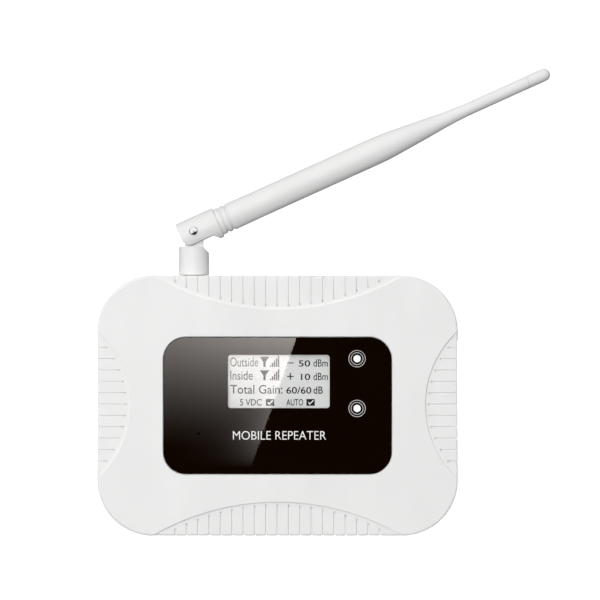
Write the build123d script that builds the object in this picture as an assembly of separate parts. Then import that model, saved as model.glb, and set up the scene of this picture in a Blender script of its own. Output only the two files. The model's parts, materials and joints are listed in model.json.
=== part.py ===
from build123d import *
import math
import os

# A desktop or wall cellular repeater. Millimetres. +X right, -Y front, +Z up.
# The origin is the centre of the flat bottom edge, at half the case's depth.

# ---- case ----------------------------------------------------------------------------------------
WIDTH = 158.0
HEIGHT = 114.0
FRONT_Y = -12.0
BACK_Y = 12.0
CORNER_R = 24.6
MID_Z = HEIGHT / 2
SIDE_WALL = 2.0
FRONT_WALL = 2.4
BACK_WALL = 2.0
PARTING_Y = 5.0
FRONT_EDGE_R = 1.0
BACK_EDGE_R = 2.0
LIP = 1.0  # thickness of the lap joint's tongue
LIP_DEPTH = 2.0
LIP_GAP = 0.05
SEAM_CHAMFER = 0.25

# ---- arc pockets and their grooves ---------------------------------------------------------------
POCKET_DEPTH = 0.8
LONG_ARC_HALF_CHORD = 55.0
LONG_ARC_SAGITTA = 14.9
SHORT_ARC_HALF_CHORD = 32.4
SHORT_ARC_SAGITTA = 14.4
GROOVE_PITCH = 4.97
GROOVE_W = 0.7
GROOVE_DEPTH = 0.5
GROOVE_DOT_R = 0.5  # the deeper dimple at each groove's inner end
GROOVE_DOT_DEPTH = 0.9
GROOVE_WRAP = 6.0  # how far each groove runs down the case's side
GROOVE_WRAP_DEPTH = 0.35
GROOVE_STOP = 1.7  # gap between the middle groove's end and the arc
GROOVE_STOP_RISE = 1.4  # how much that gap has grown where the arc meets the case's edge
SIDE_POCKET_RISE = 0.45  # the side pockets sit this much over the case's middle
LONG_GROOVES = 9  # on each side of the middle one
SHORT_GROOVES = 5

# ---- front panel ---------------------------------------------------------------------------------
PANEL_W = 100.0
PANEL_H = 60.0
PANEL_R = 9.9
PANEL_GAP = 0.2
LENS_FRONT_Y = -11.6
LENS_BACK_Y = -10.15
MASK_BACK_Y = -10.0
RECESS_Y = -9.7
TRAY_BACK_Y = -8.5
TRAY_MARGIN = 3.0
RECESS_CHAMFER = 0.3
WINDOW_W = 44.6
WINDOW_H = 23.3
WINDOW_R = 1.3
WINDOW_X = 0.5
WINDOW_Z = MID_Z + 10.6
WINDOW_MARGIN = 0.7  # the tray's opening round the window
LIGHT_X = 34.8
LIGHT_ZS = (MID_Z + 20.6, MID_Z - 1.2)
LIGHT_R = 1.6
LIGHT_FLANGE = 0.8
LIGHT_BACK_Y = -1.8
LIGHT_GAP = 0.1
RINGS = ((2.5, 2.75), (3.5, 3.75))  # inner and outer radius of each printed ring
SOUND_X = -34.3
SOUND_Z = MID_Z - 12.2
SOUND_R = 0.85

# ---- display module ------------------------------------------------------------------------------
GLASS_W = 52.0
GLASS_H = 30.0
GLASS_Z = WINDOW_Z - 1.0
GASKET_BACK_Y = -8.0
GLASS_BACK_Y = -6.0
LIGHTBOX_BACK_Y = -3.4
FRAME_WALL = 1.2
FLEX_W = 20.0
FLEX_T = 0.2
FLEX_RISE = 1.0  # the flex's lower end over the board
FRAME_GAP = 0.1
FRAME_LEDGE = 2.0  # how far the frame reaches in behind the light box
CONNECTOR_DROP = 12.6  # connector's lower side under the glass
CONNECTOR_H = 4.2
CONNECTOR_FRONT_Y = -2.8
CONNECTOR_MARGIN = 1.5  # wider than the flex on each side

# ---- circuit board -------------------------------------------------------------------------------
BOARD_HALF_T = 0.8
BOARD_HALF_W = 66.0
BOARD_BOTTOM = 20.0
BOARD_TOP = 95.0
BOARD_SCREW_X = 60.0
BOARD_SCREW_ZS = (26.0, 89.0)
BOARD_BOSS_R = 3.0
BOARD_PILOT_R = 1.05
BOARD_PILOT_FRONT_Y = -7.0
BOARD_SCREW_R = 1.0
BOARD_SCREW_FRONT_Y = -6.0
BOARD_SCREW_HOLE_R = 1.2
BOARD_SCREW_HEAD_R = 1.9
BOARD_SCREW_HEAD_H = 1.3
BOARD_TAB_W = 18.0  # the board's tab under the antenna port
SHIELD_W = 44.0
SHIELD_H = 36.0
SHIELD_D = 3.5
SHIELD_T = 0.3
SHIELD_XS = (-27.0, 24.0)
SHIELD_Z = 44.0
PAD_T = 0.7
SPREADER_T = 1.5
FIN_PITCH = 9.0
FIN_W = 1.2
FIN_H = 28.0
FIN_TOP = 3.2  # over the spreader's front face
FIN_HALF_COUNT = 4
SIDE_PARTS_X = 57.0  # inductor and capacitors, by the power inlet
CAPACITOR_R = 3.15
CAPACITOR_H = 5.4
CAPACITOR_ZS = (54.0, 62.0)
BUZZER_R = 4.5
BUZZER_H = 4.0
BUZZER_PORT_R = 1.6
BUZZER_PORT_DEPTH = 2.5

# ---- fasteners, feet, back -----------------------------------------------------------------------
CASE_SCREW_X = 63.0
CASE_SCREW_ZS = (14.0, 100.0)
CASE_BOSS_R = 4.0
SCREW_R = 1.45
SCREW_HOLE_R = 1.7
SCREW_HEAD_R = 2.8
SCREW_WELL_R = 3.1
SCREW_SEAT_Y = 8.4
SCREW_HEAD_H = 2.2
SCREW_CROSS_L = 3.2
SCREW_CROSS_W = 0.8
SCREW_CROSS_DEPTH = 1.2
SCREW_LENGTH_IN_FRONT = 8.0  # past the parting line
FOOT_R = 5.0
FOOT_X = 58.0
FOOT_ZS = (32.0, 82.0)
FOOT_SEAT_Y = 11.4
FOOT_BACK_Y = 13.0
KEYHOLE_X = 35.0
KEYHOLE_Z = 78.0
KEYHOLE_R = 4.0
KEYHOLE_SLOT_R = 2.1
KEYHOLE_RISE = 8.0
SHROUD_W = 11.0  # clear width and height round each keyhole
SHROUD_H = 18.0
SHROUD_CORNER_R = 2.0
SHROUD_WALL = 1.2
SHROUD_FRONT_Y = 5.8
VENT_W = 1.6
VENT_H = 20.0
VENT_Z = 42.0
VENT_HALF_COUNT = 6
LABEL_W = 48.0
LABEL_H = 26.0
LABEL_Z = 83.0
LABEL_T = 0.15
LABEL_RECESS = 0.3
LABEL_GAP = 0.3

# ---- radio ports ---------------------------------------------------------------------------------
ANTENNA_X = -37.05
OUTDOOR_X = 36.6
THREAD_R = 3.175
THREAD_NECK_R = 2.9  # under the fixing nut
PORT_BORE_R = 2.3
PORT_HOLE_R = 3.3
PORT_HEX = 8.0
PORT_DEPTH = 9.0  # jack's body under the wall's outer side
PORT_BODY_HALF = 3.2
PORT_LEG = 1.0
PORT_LEG_X = 2.6
WASHER_R = 4.7
WASHER_T = 0.6
CONTACT_SETBACK = 3.0  # contact and insulator under the thread's end
CONTACT_BORE_R = 0.5
CONTACT_BORE_DEPTH = 3.2
NUT_TOP = 2.6  # fixing nut's top over the wall
PORT_ABOVE = 7.5  # thread's height over the wall it goes through
WELL_W = 19.0
WELL_D = 16.0
WELL_R = 4.0
WELL_WALL = 1.5
WELL_FLOOR_Z = 104.0

# ---- power inlet ---------------------------------------------------------------------------------
INLET_Z = 30.0
INLET_SIDE = 9.0
INLET_NOSE_R = 4.0
INLET_HOLE_R = 4.2
INLET_BORE_R = 2.85
INLET_PIN_R = 1.0
INLET_ROOT_R = 0.75
INLET_FACE_X = 78.8
INLET_BACK_X = 63.0
INLET_BORE_DEPTH = 10.5
INLET_PIN_SETBACK = 1.0
INLET_PIN_ROOT = 3.0
SPRING_W = 2.0
SPRING_T = 0.3

# ---- antenna: base heights are over the case's top, whip heights from the pivot ------------------
BASE_R = 6.65
BASE_GAP = 0.2
BASE_EDGE = 0.4
BASE_BORE_R = 5.0
BASE_BORE_TOP = 8.7
NUT_LOW = 3.0  # coupling nut, plug: heights over the case's top
NUT_LIP_LOW = 7.9
NUT_HIGH = 8.6
NUT_LIP_R = 2.35
PLUG_LOW = 4.7
PLUG_TOP = 11.5
PLUG_R = 2.2
PLUG_BORE_R = 1.4
PLUG_RING_R = 3.1
PLUG_RING_ZS = (7.55, 7.85)
PLUG_TAIL_R = 2.6
PLUG_PIN_R = 0.45
PLUG_PIN_LOW = 2.0
PLUG_PIN_TOP = 9.9
SHOULDER = 12.75
CHAMFER_X = 4.25
CHAMFER_LOW = 10.0
PIVOT_H = 19.5
PIVOT_DX = 0.05
TONGUE_R = 4.05
TONGUE_HALF_T = 2.3
EAR_GAP = 0.1
SLOT_R = 4.3
CABLE_R = 0.65
CABLE_GAP = 0.15
CABLE_TOP = 60.0
CABLE_SLOT = 0.9
CABLE_END = 0.7  # the cable's two halves stop this far from the pivot
PIN_R = 1.3
PIN_RUN_GAP = 0.06
PIN_SNUG_GAP = 0.02
PIN_HEAD_R = 1.85
PIN_HEAD_H = 0.75
PIN_RIM_H = 0.2  # straight part of the domed head
PIN_INNER_Y = 1.0
PIN_SEAT_Y = 6.2
WHIP_DX = 0.6  # the whip's axis from the pivot, square to the whip
WHIP_TILT = 65.65  # degrees from upright, at rest
KNUCKLE_R = 6.9
KNUCKLE_END = -6.25
KNUCKLE_FLAT_X = 4.95
KNUCKLE_FLAT_TOP = 7.0
KNUCKLE_CORNER_R = 3.6
COLLAR_LOW = 9.6
COLLAR_TOP = 11.4
COLLAR_EDGE = 0.4
RING_GROOVE_R = 5.35
SPIGOT_R = 4.2
SPIGOT_TOP = 20.0
SHEATH_BORE_R = 4.25
BARREL_TOP = 79.0
BARREL_BORE_TOP = 92.0
ROD_BORE_LOW = 128.0
ROD_LOW = 142.0
ROD_R = 2.75  # the sheath's thin upper part
ROD_BORE_R = 1.3
CAP_R = 2.78
CAP_LOW = 161.6
CAP_SEAM = 0.3
WHIP_TIP = 172.2

# ---- aerial inside the whip: heights from the pivot ----------------------------------------------
SLEEVE_R = 2.6
SLEEVE_BORE_R = 2.3
SLEEVE_H = 36.0
SLEEVE_MID = 42.0
COIL_LOW = 62.0
COIL_H = 24.0
COIL_R = 1.9
COIL_PITCH = 2.4
COIL_WIRE_R = 0.35
COIL_CORE_R = 1.3
COIL_CORE_H = 30.0
UPPER_ROD_X = 0.2
UPPER_ROD_R = 0.6
UPPER_ROD_H = 65.0

PIVOT = (ANTENNA_X + PIVOT_DX, 0.0, HEIGHT + PIVOT_H)


# ---- helpers -------------------------------------------------------------------------------------
def slab(outline, front, back):
    """Extrudes an outline drawn as seen from the front (x right, y up) between two Y values."""
    return extrude(Plane.XZ.offset(-back) * outline, back - front)


def at(x, z, outline):
    """Places an outline in the front view."""
    return Pos(x, z) * outline


def block(x0, x1, y0, y1, z0, z1):
    """A box given by its limits."""
    return Pos((x0 + x1) / 2, (y0 + y1) / 2, (z0 + z1) / 2) * Box(x1 - x0, y1 - y0, z1 - z0)


def post(x, z, radius, front, back):
    """A round post along Y."""
    return slab(at(x, z, Circle(radius)), front, back)


def drum(x, radius, low, high, y=0.0):
    """A round post along Z."""
    return Pos(x, y, (low + high) / 2) * Cylinder(radius, high - low)


def hexagon(x, across_flats, low, high):
    """A hexagonal prism along Z."""
    outline = RegularPolygon(across_flats / 2, 6, major_radius=False)
    return Pos(x, 0, low) * extrude(outline, high - low)


def four(x, zs):
    """The four places mirrored about the case's middle."""
    return [(side * x, z) for side in (-1, 1) for z in zs]


def save(name, shape):
    """Writes one node."""
    export_step(shape, f"parts/{name}.step")


def group(pieces):
    """Separate solids that share one node."""
    return Compound(children=list(pieces))


# ---- case ----------------------------------------------------------------------------------------
def case_outline(inset=0.0):
    return at(0, MID_Z, RectangleRounded(WIDTH - 2 * inset, HEIGHT - 2 * inset, CORNER_R - inset))


def arc_radius(half_chord, sagitta):
    return (half_chord**2 + sagitta**2) / (2 * sagitta)


LONG_ARC_R = arc_radius(LONG_ARC_HALF_CHORD, LONG_ARC_SAGITTA)
SHORT_ARC_R = arc_radius(SHORT_ARC_HALF_CHORD, SHORT_ARC_SAGITTA)


def arc_discs():
    """The four discs whose overlap with the front makes the pockets."""
    rise = MID_Z - LONG_ARC_SAGITTA + LONG_ARC_R
    run = WIDTH / 2 - SHORT_ARC_SAGITTA + SHORT_ARC_R
    discs = [at(0, MID_Z + side * rise, Circle(LONG_ARC_R)) for side in (-1, 1)]
    discs += [at(side * run, MID_Z + SIDE_POCKET_RISE, Circle(SHORT_ARC_R)) for side in (-1, 1)]
    return [slab(disc, FRONT_Y - 1, FRONT_Y + 4) for disc in discs]


def groove(offset, edge, half_chord, sagitta):
    """One groove of the pocket whose edge lies along +Y of a flat sheet, at an offset along it."""
    arc_r = arc_radius(half_chord, sagitta)
    depth_in = sagitta - arc_r + math.sqrt(arc_r**2 - offset**2)
    inner = edge - depth_in + GROOVE_STOP + GROOVE_STOP_RISE * (offset / half_chord) ** 2
    length = edge + 1 - inner
    line = Pos(offset, inner + length / 2) * Rectangle(GROOVE_W, length)
    dot = Pos(offset, inner) * Circle(GROOVE_DOT_R)
    wrap = Pos(offset, edge) * Rectangle(GROOVE_W, 2 * GROOVE_WRAP_DEPTH)
    pocket_y = FRONT_Y + POCKET_DEPTH
    return [
        (line, pocket_y + GROOVE_DEPTH),
        (dot, pocket_y + GROOVE_DOT_DEPTH),
        (wrap, FRONT_Y + GROOVE_WRAP),
    ]


def groove_cutters():
    """Every groove, on the face and down the sides."""
    cutters = []
    long_pocket = (HEIGHT / 2, LONG_ARC_HALF_CHORD, LONG_ARC_SAGITTA)
    short_pocket = (WIDTH / 2, SHORT_ARC_HALF_CHORD, SHORT_ARC_SAGITTA)
    for turns, count, pocket, middle_z in (
        ((0, 180), LONG_GROOVES, long_pocket, MID_Z),
        ((90, -90), SHORT_GROOVES, short_pocket, MID_Z + SIDE_POCKET_RISE),
    ):
        for turn in turns:
            for step in range(-count, count + 1):
                for outline, floor_y in groove(step * GROOVE_PITCH, *pocket):
                    cutters.append(slab(at(0, middle_z, Rot(0, 0, turn) * outline), FRONT_Y - 1, floor_y))
    return cutters


def lap_ring(inset, front, back):
    """The ring just inside the side wall where the two covers overlap."""
    return slab(case_outline(inset) - case_outline(SIDE_WALL), front, back)


def inlet_hole():
    """The round hole for the power inlet, on the parting side of the right wall."""
    return Pos(WIDTH / 2, 0, INLET_Z) * Rot(0, 90, 0) * Cylinder(INLET_HOLE_R, 6)


def well(grow=0.0, low=WELL_FLOOR_Z, high=HEIGHT + 1):
    """The pocket round the outdoor port, or its outside when grown by the wall."""
    outline = RectangleRounded(WELL_W + 2 * grow, WELL_D + 2 * grow, WELL_R + grow)
    return Pos(OUTDOOR_X, 0, low) * extrude(outline, high - low)


def well_walls():
    """The well's own walls and floor, inside the case."""
    return well(WELL_WALL, WELL_FLOOR_Z - SIDE_WALL, HEIGHT - 1)


def front_blank(front):
    """The front half's outer body with its rounded front edge."""
    body = slab(case_outline(), front, PARTING_Y)
    body = fillet(body.faces().sort_by(Axis.Y)[0].edges(), FRONT_EDGE_R)
    return chamfer(body.faces().sort_by(Axis.Y)[-1].edges(), SEAM_CHAMFER)


def panel_outline(grow=0.0):
    return at(0, MID_Z, RectangleRounded(PANEL_W + 2 * grow, PANEL_H + 2 * grow, PANEL_R + grow))


def tray_opening():
    return at(WINDOW_X, WINDOW_Z, Rectangle(WINDOW_W + 2 * WINDOW_MARGIN, WINDOW_H + 2 * WINDOW_MARGIN))


def front_cover():
    pocket_floor = front_blank(FRONT_Y + POCKET_DEPTH)
    body = front_blank(FRONT_Y)
    for disc in arc_discs():
        body -= disc - pocket_floor
    body -= groove_cutters()
    body -= slab(case_outline(SIDE_WALL), FRONT_Y + FRONT_WALL, PARTING_Y + 1)
    body += slab(panel_outline(TRAY_MARGIN), RECESS_Y - 0.2, TRAY_BACK_Y)
    front_half = block(-WIDTH, WIDTH, FRONT_Y + 1, PARTING_Y, 0, HEIGHT)
    body += well_walls() & front_half
    for x, z in four(CASE_SCREW_X, CASE_SCREW_ZS):
        body += post(x, z, CASE_BOSS_R, FRONT_Y + FRONT_WALL - 0.2, PARTING_Y)
        body -= post(x, z, SCREW_R + LIP_GAP, PARTING_Y - 9, PARTING_Y)
    for x, z in four(BOARD_SCREW_X, BOARD_SCREW_ZS):
        body += post(x, z, BOARD_BOSS_R, FRONT_Y + FRONT_WALL - 0.2, -BOARD_HALF_T)
        body -= post(x, z, BOARD_PILOT_R, BOARD_PILOT_FRONT_Y, -BOARD_HALF_T)
    recess = slab(panel_outline(PANEL_GAP), FRONT_Y - 1, RECESS_Y)
    bevel = extrude(
        Plane.XZ.offset(-(FRONT_Y + RECESS_CHAMFER)) * panel_outline(PANEL_GAP),
        RECESS_CHAMFER,
        taper=-45,
    )
    body -= [recess, bevel]
    body -= slab(tray_opening(), RECESS_Y - 1, GASKET_BACK_Y)
    for z in LIGHT_ZS:
        body -= post(LIGHT_X, z, LIGHT_R + LIGHT_GAP, RECESS_Y - 1, TRAY_BACK_Y + 1)
    body -= post(SOUND_X, SOUND_Z, SOUND_R + 0.4, RECESS_Y - 1, TRAY_BACK_Y + 1)
    body -= drum(ANTENNA_X, PORT_HOLE_R, HEIGHT - 5, HEIGHT + 1)
    body -= well()
    body -= drum(OUTDOOR_X, PORT_HOLE_R, WELL_FLOOR_Z - 5, WELL_FLOOR_Z + 1)
    body -= lap_ring(LIP, PARTING_Y - LIP_DEPTH, PARTING_Y + 1)
    return body - inlet_hole()


def keyhole(grow=0.0):
    """A keyhole's outline, entry at the origin and slot above it."""
    slot = Pos(0, KEYHOLE_RISE / 2) * Rectangle(2 * (KEYHOLE_SLOT_R + grow), KEYHOLE_RISE)
    return Circle(KEYHOLE_R + grow) + slot + Pos(0, KEYHOLE_RISE) * Circle(KEYHOLE_SLOT_R + grow)


def keyhole_shroud(grow, front):
    """The box behind a keyhole that keeps the wall screw's head off the board."""
    size = (SHROUD_W + 2 * grow, SHROUD_H + 2 * grow)
    outline = Pos(0, KEYHOLE_RISE / 2 - 1) * RectangleRounded(*size, SHROUD_CORNER_R + grow)
    return [slab(at(side * KEYHOLE_X, KEYHOLE_Z, outline), front, BACK_Y - BACK_WALL) for side in (-1, 1)]


def rear_cover():
    body = slab(case_outline(), PARTING_Y, BACK_Y)
    body = fillet(body.faces().sort_by(Axis.Y)[-1].edges(), BACK_EDGE_R)
    body = chamfer(body.faces().sort_by(Axis.Y)[0].edges(), SEAM_CHAMFER)
    body -= slab(case_outline(SIDE_WALL), PARTING_Y - 1, BACK_Y - BACK_WALL)
    body += lap_ring(LIP + LIP_GAP, PARTING_Y - LIP_DEPTH + 0.1, PARTING_Y + 0.5)
    rear_half = block(-WIDTH, WIDTH, PARTING_Y, BACK_Y - 1, 0, HEIGHT)
    body += well_walls() & rear_half
    body -= well()
    body += keyhole_shroud(SHROUD_WALL, SHROUD_FRONT_Y)
    body -= keyhole_shroud(0.0, SHROUD_FRONT_Y + SHROUD_WALL)
    for side in (-1, 1):
        body -= slab(at(side * KEYHOLE_X, KEYHOLE_Z, keyhole()), BACK_Y - BACK_WALL - 1, BACK_Y + 1)
    for x, z in four(CASE_SCREW_X, CASE_SCREW_ZS):
        body += post(x, z, CASE_BOSS_R, PARTING_Y, BACK_Y - 1)
        body -= post(x, z, SCREW_HOLE_R, PARTING_Y - 1, BACK_Y + 1)
        body -= post(x, z, SCREW_WELL_R, SCREW_SEAT_Y, BACK_Y + 1)
    for x, z in four(FOOT_X, FOOT_ZS):
        body -= post(x, z, FOOT_R + 0.1, FOOT_SEAT_Y, BACK_Y + 1)
    for step in range(-VENT_HALF_COUNT, VENT_HALF_COUNT + 1):
        vent = at(step * GROOVE_PITCH, VENT_Z, SlotOverall(VENT_H, VENT_W, rotation=90))
        body -= slab(vent, BACK_Y - BACK_WALL - 1, BACK_Y + 1)
    label = RectangleRounded(LABEL_W + 2 * LABEL_GAP, LABEL_H + 2 * LABEL_GAP, 1.5)
    body -= slab(at(0, LABEL_Z, label), BACK_Y - LABEL_RECESS, BACK_Y + 1)
    body -= drum(ANTENNA_X, PORT_HOLE_R, HEIGHT - 5, HEIGHT + 1)
    return body - inlet_hole()


def case_screws():
    cross = Rectangle(SCREW_CROSS_L, SCREW_CROSS_W) + Rectangle(SCREW_CROSS_W, SCREW_CROSS_L)
    head_y = SCREW_SEAT_Y + SCREW_HEAD_H
    return group(
        post(x, z, SCREW_R, PARTING_Y - SCREW_LENGTH_IN_FRONT, SCREW_SEAT_Y)
        + post(x, z, SCREW_HEAD_R, SCREW_SEAT_Y, head_y)
        - slab(at(x, z, cross), head_y - SCREW_CROSS_DEPTH, head_y + 1)
        for x, z in four(CASE_SCREW_X, CASE_SCREW_ZS)
    )


def rubber_feet():
    feet = []
    for x, z in four(FOOT_X, FOOT_ZS):
        foot = post(x, z, FOOT_R, FOOT_SEAT_Y, FOOT_BACK_Y)
        feet.append(fillet(foot.faces().sort_by(Axis.Y)[-1].edges(), 0.4))
    return group(feet)


def rating_label():
    outline = RectangleRounded(LABEL_W, LABEL_H, 1.2)
    return slab(at(0, LABEL_Z, outline), BACK_Y - LABEL_RECESS, BACK_Y - LABEL_RECESS + LABEL_T)


# ---- front panel ---------------------------------------------------------------------------------
def light_window(z):
    """One indicator's clear dot and its two printed rings, as outlines."""
    rings = [at(LIGHT_X, z, Circle(outer) - Circle(inner)) for inner, outer in RINGS]
    return at(LIGHT_X, z, Circle(LIGHT_R)), rings


def display_window(grow=0.0):
    size = (WINDOW_W + 2 * grow, WINDOW_H + 2 * grow)
    return at(WINDOW_X, WINDOW_Z, RectangleRounded(*size, WINDOW_R + grow))


def sound_hole(radius=SOUND_R):
    return at(SOUND_X, SOUND_Z, Circle(radius))


def panel_lens():
    lens = slab(panel_outline(), LENS_FRONT_Y, LENS_BACK_Y)
    lens = chamfer(lens.faces().sort_by(Axis.Y)[0].edges(), 0.2)
    return lens - slab(sound_hole(), LENS_FRONT_Y - 1, LENS_BACK_Y + 1)


def panel_mask():
    mask = panel_outline() - display_window() - sound_hole()
    for z in LIGHT_ZS:
        dot, rings = light_window(z)
        mask = mask - dot - rings[0] - rings[1]
    return group(slab(mask, LENS_BACK_Y, MASK_BACK_Y).solids())


def indicator_rings():
    outlines = [ring for z in LIGHT_ZS for ring in light_window(z)[1]]
    return group(slab(ring, LENS_BACK_Y, MASK_BACK_Y) for ring in outlines)


def panel_adhesive():
    frame = panel_outline(-0.5) - display_window(WINDOW_MARGIN) - sound_hole(SOUND_R + 0.4)
    for z in LIGHT_ZS:
        frame -= at(LIGHT_X, z, Circle(LIGHT_R + LIGHT_GAP))
    return slab(frame, MASK_BACK_Y, RECESS_Y)


def light_guides():
    return group(
        post(LIGHT_X, z, LIGHT_R, LENS_BACK_Y, LIGHT_BACK_Y)
        + post(LIGHT_X, z, LIGHT_R + LIGHT_FLANGE, TRAY_BACK_Y, TRAY_BACK_Y + LIGHT_FLANGE)
        for z in LIGHT_ZS
    )


# ---- display -------------------------------------------------------------------------------------
def display_box(front, back, grow=0.0):
    size = (GLASS_W + 2 * grow, GLASS_H + 2 * grow)
    return slab(at(WINDOW_X, GLASS_Z, Rectangle(*size)), front, back)


def display_gasket():
    outer = at(WINDOW_X, GLASS_Z, Rectangle(GLASS_W - 1, GLASS_H - 1))
    return slab(outer - tray_opening(), TRAY_BACK_Y, GASKET_BACK_Y)


def display_frame():
    frame = display_box(GASKET_BACK_Y + 0.2, -BOARD_HALF_T, FRAME_WALL + FRAME_GAP)
    frame -= display_box(GASKET_BACK_Y, LIGHTBOX_BACK_Y, FRAME_GAP)
    frame -= display_box(LIGHTBOX_BACK_Y - 1, 0, -FRAME_LEDGE)
    low = GLASS_Z - GLASS_H / 2
    return frame - block(
        WINDOW_X - FLEX_W / 2 - 1, WINDOW_X + FLEX_W / 2 + 1, GASKET_BACK_Y, 0, low - 3, low + 0.5
    )


def display_flex():
    """The flat tail from the glass's lower edge down to its connector on the board."""
    low = GLASS_Z - GLASS_H / 2
    middle_y = (GASKET_BACK_Y + GLASS_BACK_Y) / 2
    end_y = -BOARD_HALF_T - FLEX_RISE
    corners = ((0, middle_y, low), (0, middle_y, low - 3.6), (0, end_y, low - 5.4), (0, end_y, low - 9.6))
    path = FilletPolyline(*corners, radius=1.2)
    section = Plane(path @ 0, x_dir=(1, 0, 0), z_dir=path % 0) * Rectangle(FLEX_W, FLEX_T)
    return Pos(WINDOW_X, 0, 0) * sweep(section, path)


def flex_connector():
    low = GLASS_Z - GLASS_H / 2 - CONNECTOR_DROP
    high = low + CONNECTOR_H
    x0 = WINDOW_X - FLEX_W / 2 - CONNECTOR_MARGIN
    x1 = WINDOW_X + FLEX_W / 2 + CONNECTOR_MARGIN
    slot_half = FLEX_T / 2 + 0.02
    flex_y = -BOARD_HALF_T - FLEX_RISE
    slot = block(x0 + 1.4, x1 - 1.4, flex_y - slot_half, flex_y + slot_half, high - 1.3, high + 1)
    return block(x0, x1, CONNECTOR_FRONT_Y, -BOARD_HALF_T, low, high) - slot


# ---- circuit board -------------------------------------------------------------------------------
def main_board():
    outline = Pos(0, (BOARD_BOTTOM + BOARD_TOP) / 2) * RectangleRounded(
        2 * BOARD_HALF_W, BOARD_TOP - BOARD_BOTTOM, 2
    )
    tab_top = HEIGHT - 9
    tab = Rectangle(BOARD_TAB_W, tab_top - BOARD_TOP + 4)
    outline += Pos(ANTENNA_X, (BOARD_TOP + tab_top) / 2 - 2) * tab
    half = INLET_SIDE / 2 + 0.1
    outline -= Pos((INLET_BACK_X + BOARD_HALF_W) / 2 + 0.4, INLET_Z) * Rectangle(
        BOARD_HALF_W - INLET_BACK_X + 1, 2 * half
    )
    for x, z in four(BOARD_SCREW_X, BOARD_SCREW_ZS):
        outline -= at(x, z, Circle(BOARD_SCREW_HOLE_R))
    return slab(outline, -BOARD_HALF_T, BOARD_HALF_T)


def board_screws():
    return group(
        post(x, z, BOARD_SCREW_R, BOARD_SCREW_FRONT_Y, BOARD_HALF_T)
        + post(x, z, BOARD_SCREW_HEAD_R, BOARD_HALF_T, BOARD_HALF_T + BOARD_SCREW_HEAD_H)
        for x, z in four(BOARD_SCREW_X, BOARD_SCREW_ZS)
    )


def shield_can(x):
    top = BOARD_HALF_T + SHIELD_D
    can = slab(at(x, SHIELD_Z, RectangleRounded(SHIELD_W, SHIELD_H, 1.5)), BOARD_HALF_T, top)
    inner = at(x, SHIELD_Z, RectangleRounded(SHIELD_W - 2 * SHIELD_T, SHIELD_H - 2 * SHIELD_T, 1.2))
    return can - slab(inner, BOARD_HALF_T - 1, top - SHIELD_T)


def on_board(x, z, w, h, depth, side=1):
    """A component of a given size on the board's back (side 1) or front (side -1)."""
    low = BOARD_HALF_T if side > 0 else -BOARD_HALF_T - depth
    return slab(at(x, z, Rectangle(w, h)), low, low + depth)


def thermal_pads():
    top = BOARD_HALF_T + SHIELD_D
    return group(
        slab(at(x, SHIELD_Z, Rectangle(SHIELD_W - 8, SHIELD_H - 8)), top, top + PAD_T) for x in SHIELD_XS
    )


def heat_spreader():
    y = BOARD_HALF_T + SHIELD_D + PAD_T
    middle = sum(SHIELD_XS) / 2
    plate = RectangleRounded(SHIELD_XS[1] - SHIELD_XS[0] + SHIELD_W - 4, SHIELD_H - 4, 3)
    spreader = slab(at(middle, SHIELD_Z, plate), y, y + SPREADER_T)
    for step in range(-FIN_HALF_COUNT, FIN_HALF_COUNT + 1):
        fin = at(middle + step * FIN_PITCH, SHIELD_Z, Rectangle(FIN_W, FIN_H))
        spreader += slab(fin, y + 1, y + FIN_TOP)
    return spreader


def bulk_capacitors():
    top = BOARD_HALF_T + CAPACITOR_H
    return group(post(SIDE_PARTS_X, z, CAPACITOR_R, BOARD_HALF_T, top) for z in CAPACITOR_ZS)


def buzzer():
    front = -BOARD_HALF_T - BUZZER_H
    body = post(SOUND_X, SOUND_Z, BUZZER_R, front, -BOARD_HALF_T)
    return body - post(SOUND_X, SOUND_Z, BUZZER_PORT_R, front - 1, front + BUZZER_PORT_DEPTH)


# ---- radio ports ---------------------------------------------------------------------------------
def port_body(x, wall_top, above):
    """An edge-launch threaded jack through a wall whose outer side is at wall_top."""
    flange_top = wall_top - SIDE_WALL
    block_low = wall_top - PORT_DEPTH
    body = drum(x, THREAD_NECK_R, flange_top - 3, wall_top + above)
    body += drum(x, THREAD_R, wall_top + NUT_TOP, wall_top + above)
    body += hexagon(x, PORT_HEX, flange_top - 2.4, flange_top)
    half = PORT_BODY_HALF
    body += block(x - half, x + half, -half, half, block_low, flange_top - 2.2)
    for side_x in (-1, 1):
        for side_y in (-1, 1):
            leg_x = x + side_x * PORT_LEG_X
            leg_y = side_y * (BOARD_HALF_T + PORT_LEG / 2)
            body += Pos(leg_x, leg_y, block_low - 2) * Box(PORT_LEG, PORT_LEG, 5.0)
    body = chamfer(body.faces().sort_by(Axis.Z)[-1].edges().sort_by(Edge.length)[-1:], 0.3)
    return body - drum(x, PORT_BORE_R, block_low - 0.1, wall_top + above + 1)


def port_insulator(x, wall_top, above):
    low = wall_top - PORT_DEPTH
    top = wall_top + above - CONTACT_SETBACK
    return drum(x, PORT_BORE_R, low, top) - drum(x, CABLE_R, low - 1, top + 1)


def port_contact(x, wall_top, above):
    top = wall_top + above - CONTACT_SETBACK
    contact = drum(x, CABLE_R, wall_top - PORT_DEPTH, top)
    return contact - drum(x, CONTACT_BORE_R, top - CONTACT_BORE_DEPTH, top + 1)


def port_hardware(x, wall_top):
    """The lock washer and the hexagonal nut on the jack's thread."""
    washer = drum(x, WASHER_R, wall_top, wall_top + WASHER_T)
    washer -= drum(x, PORT_HOLE_R, wall_top - 1, wall_top + 1)
    nut = hexagon(x, PORT_HEX, wall_top + WASHER_T, wall_top + NUT_TOP)
    nut -= drum(x, THREAD_NECK_R + LIP_GAP, wall_top, wall_top + 3)
    return washer, nut


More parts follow.
